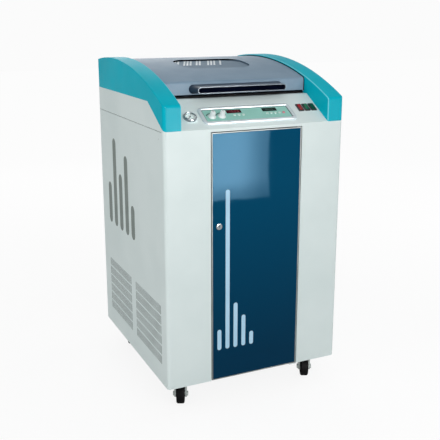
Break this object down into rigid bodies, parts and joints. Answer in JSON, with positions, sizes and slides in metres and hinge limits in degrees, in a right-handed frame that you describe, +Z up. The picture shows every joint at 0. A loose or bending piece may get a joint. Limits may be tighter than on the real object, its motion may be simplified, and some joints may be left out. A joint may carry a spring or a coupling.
{
  "type": "centrifugal vacuum concentrator",
  "caption": "Floor cabinet on swivel casters with a hinged arched lid over a vacuum rotor chamber, a sloping control deck and a glazed service door.",
  "frame": {"origin": "on the floor under the middle of the cabinet", "axes": "+Z up, front with the door towards -Y, +X to the right seen from the front"},
  "size_m": [0.56, 0.608, 0.995],
  "materials": {
    "white_paint": "smooth satin paint",
    "teal_plastic": "satin moulded plastic",
    "slate_plastic": "satin moulded plastic with a metallic cast",
    "door_blue": "deep blue back-painted glass",
    "door_metal": "silver-grey paint",
    "zinc_steel": "zinc-plated steel",
    "chrome": "polished",
    "bright_metal": "machined aluminium",
    "cast_paint": "dark blue machine enamel",
    "black_plastic": "fine-grained black plastic",
    "white_plastic": "gloss moulded plastic",
    "panel_green": "matt printed film",
    "display_dark": "tinted window",
    "red_plastic": "translucent red",
    "green_plastic": "translucent green",
    "seal_rubber": "soft black rubber",
    "wheel_rubber": "hard black rubber",
    "hose_rubber": "vacuum hose",
    "clear_pane": "clear acrylic",
    "smoked_pane": "smoked acrylic",
    "lamp_quartz": "frosted quartz",
    "board_green": "circuit board"
  },
  "bodies": {
    "cabinet": {"base_pan": "zinc_steel", "front_fascia": "white_paint", "left_side_panel": "white_paint", "right_side_panel": "white_paint", "rear_panel": "white_paint", "top_housing": "white_paint", "left_end_cap": "teal_plastic", "right_end_cap": "teal_plastic", "chamber_bowl": "zinc_steel", "lid_seals": "seal_rubber", "drive_motor": "bright_metal", "infrared_lamps": "lamp_quartz", "cold_trap": "bright_metal", "vacuum_pump": "cast_paint", "condensing_unit": "zinc_steel", "vacuum_hoses": "hose_rubber", "control_board": "board_green", "power_inlet": "black_plastic", "control_bezel": "white_plastic", "control_panel": "panel_green", "display_windows": "display_dark", "gauge_case": "chrome", "gauge_lens": "clear_pane", "switch_frames": "black_plastic", "lid_hinge_brackets": "zinc_steel", "caster_plates": "zinc_steel"},
    "lid": {"lid_shell": "slate_plastic", "lid_window": "smoked_pane", "seal_plate": "clear_pane", "lid_handle": "black_plastic", "handle_trim": "chrome", "lid_hinge_leaves": "zinc_steel"},
    "door": {"door_frame": "door_metal", "door_glass": "door_blue"},
    "lock": {"door_lock": "chrome"},
    "rotor": {"rotor": "bright_metal", "rotor_knob": "black_plastic", "drive_shaft": "zinc_steel"},
    "fan": {"fan_blades": "black_plastic"},
    "needle": {"gauge_needle": "black_plastic"},
    "knob_speed": {"speed_knob": "white_plastic"},
    "knob_timer": {"timer_knob": "white_plastic"},
    "rocker_power": {"power_rocker": "red_plastic"},
    "rocker_pump": {"pump_rocker": "green_plastic"},
    "rocker_lamp": {"lamp_rocker": "green_plastic"},
    "fork_fl": {"caster_fork_fl": "zinc_steel"},
    "wheel_fl": {"caster_wheel_fl": "wheel_rubber"},
    "fork_fr": {"caster_fork_fr": "zinc_steel"},
    "wheel_fr": {"caster_wheel_fr": "wheel_rubber"},
    "fork_rl": {"caster_fork_rl": "zinc_steel"},
    "wheel_rl": {"caster_wheel_rl": "wheel_rubber"},
    "fork_rr": {"caster_fork_rr": "zinc_steel"},
    "wheel_rr": {"caster_wheel_rr": "wheel_rubber"},
    "key_1": {"key_1": "white_plastic"},
    "key_2": {"key_2": "white_plastic"},
    "key_3": {"key_3": "white_plastic"},
    "key_4": {"key_4": "white_plastic"},
    "key_5": {"key_5": "white_plastic"},
    "key_6": {"key_6": "white_plastic"},
    "key_7": {"key_7": "white_plastic"}
  },
  "joints": [
    {"name": "lid_hinge", "type": "hinge", "parent": "cabinet", "child": "lid", "pos_m": [0, 0.292, 0.902], "axis": [-1, 0, 0], "range_deg": [0, 80]},
    {"name": "door_hinge", "type": "hinge", "parent": "cabinet", "child": "door", "pos_m": [0.133, -0.294, 0.45], "axis": [0, 0, 1], "range_deg": [0, 110]},
    {"name": "lock_turn", "type": "hinge", "parent": "door", "child": "lock", "pos_m": [-0.119, -0.29, 0.548], "axis": [0, -1, 0], "range_deg": [0, 90]},
    {"name": "rotor_spin", "type": "hinge", "parent": "cabinet", "child": "rotor", "pos_m": [0, 0.061, 0.78], "axis": [0, 0, 1], "continuous": true},
    {"name": "fan_spin", "type": "hinge", "parent": "cabinet", "child": "fan", "pos_m": [-0.11, 0.23, 0.19], "axis": [0, 1, 0], "continuous": true},
    {"name": "needle_swing", "type": "hinge", "parent": "cabinet", "child": "needle", "pos_m": [-0.185, -0.25523, 0.85446], "axis": [0, 0.5, -0.866], "range_deg": [0, 270]},
    {"name": "speed_turn", "type": "hinge", "parent": "cabinet", "child": "knob_speed", "pos_m": [-0.121, -0.2572, 0.84987], "axis": [0, 0.5, -0.866], "range_deg": [-135, 135]},
    {"name": "timer_turn", "type": "hinge", "parent": "cabinet", "child": "knob_timer", "pos_m": [-0.091, -0.2572, 0.84987], "axis": [0, 0.5, -0.866], "range_deg": [-135, 135]},
    {"name": "power_tilt", "type": "hinge", "parent": "cabinet", "child": "rocker_power", "pos_m": [0.169, -0.23744, 0.85665], "axis": [-1, 0, 0], "range_deg": [0, 14]},
    {"name": "pump_tilt", "type": "hinge", "parent": "cabinet", "child": "rocker_pump", "pos_m": [0.19, -0.23744, 0.85665], "axis": [-1, 0, 0], "range_deg": [0, 14]},
    {"name": "lamp_tilt", "type": "hinge", "parent": "cabinet", "child": "rocker_lamp", "pos_m": [0.211, -0.23744, 0.85665], "axis": [-1, 0, 0], "range_deg": [0, 14]},
    {"name": "key_1_press", "type": "slide", "parent": "cabinet", "child": "key_1", "axis": [0, 0.5, -0.866], "range_m": [0, 0.0015], "stiffness_N_per_m": 400, "springref_m": -0.001},
    {"name": "key_2_press", "type": "slide", "parent": "cabinet", "child": "key_2", "axis": [0, 0.5, -0.866], "range_m": [0, 0.0015], "stiffness_N_per_m": 400, "springref_m": -0.001},
    {"name": "key_3_press", "type": "slide", "parent": "cabinet", "child": "key_3", "axis": [0, 0.5, -0.866], "range_m": [0, 0.0015], "stiffness_N_per_m": 400, "springref_m": -0.001},
    {"name": "key_4_press", "type": "slide", "parent": "cabinet", "child": "key_4", "axis": [0, 0.5, -0.866], "range_m": [0, 0.0015], "stiffness_N_per_m": 400, "springref_m": -0.001},
    {"name": "key_5_press", "type": "slide", "parent": "cabinet", "child": "key_5", "axis": [0, 0.5, -0.866], "range_m": [0, 0.0015], "stiffness_N_per_m": 400, "springref_m": -0.001},
    {"name": "key_6_press", "type": "slide", "parent": "cabinet", "child": "key_6", "axis": [0, 0.5, -0.866], "range_m": [0, 0.0015], "stiffness_N_per_m": 400, "springref_m": -0.001},
    {"name": "key_7_press", "type": "slide", "parent": "cabinet", "child": "key_7", "axis": [0, 0.5, -0.866], "range_m": [0, 0.0015], "stiffness_N_per_m": 400, "springref_m": -0.001},
    {"name": "swivel_fl", "type": "hinge", "parent": "cabinet", "child": "fork_fl", "pos_m": [-0.213, -0.23, 0.065], "axis": [0, 0, 1], "continuous": true},
    {"name": "roll_fl", "type": "hinge", "parent": "fork_fl", "child": "wheel_fl", "pos_m": [-0.22061, -0.24631, 0.03], "axis": [0.9063, -0.4226, 0], "continuous": true},
    {"name": "swivel_fr", "type": "hinge", "parent": "cabinet", "child": "fork_fr", "pos_m": [0.213, -0.23, 0.065], "axis": [0, 0, 1], "continuous": true},
    {"name": "roll_fr", "type": "hinge", "parent": "fork_fr", "child": "wheel_fr", "pos_m": [0.20539, -0.24631, 0.03], "axis": [0.9063, -0.4226, 0], "continuous": true},
    {"name": "swivel_rl", "type": "hinge", "parent": "cabinet", "child": "fork_rl", "pos_m": [-0.213, 0.23, 0.065], "axis": [0, 0, 1], "continuous": true},
    {"name": "roll_rl", "type": "hinge", "parent": "fork_rl", "child": "wheel_rl", "pos_m": [-0.22061, 0.21369, 0.03], "axis": [0.9063, -0.4226, 0], "continuous": true},
    {"name": "swivel_rr", "type": "hinge", "parent": "cabinet", "child": "fork_rr", "pos_m": [0.213, 0.23, 0.065], "axis": [0, 0, 1], "continuous": true},
    {"name": "roll_rr", "type": "hinge", "parent": "fork_rr", "child": "wheel_rr", "pos_m": [0.20539, 0.21369, 0.03], "axis": [0.9063, -0.4226, 0], "continuous": true}
  ]
}
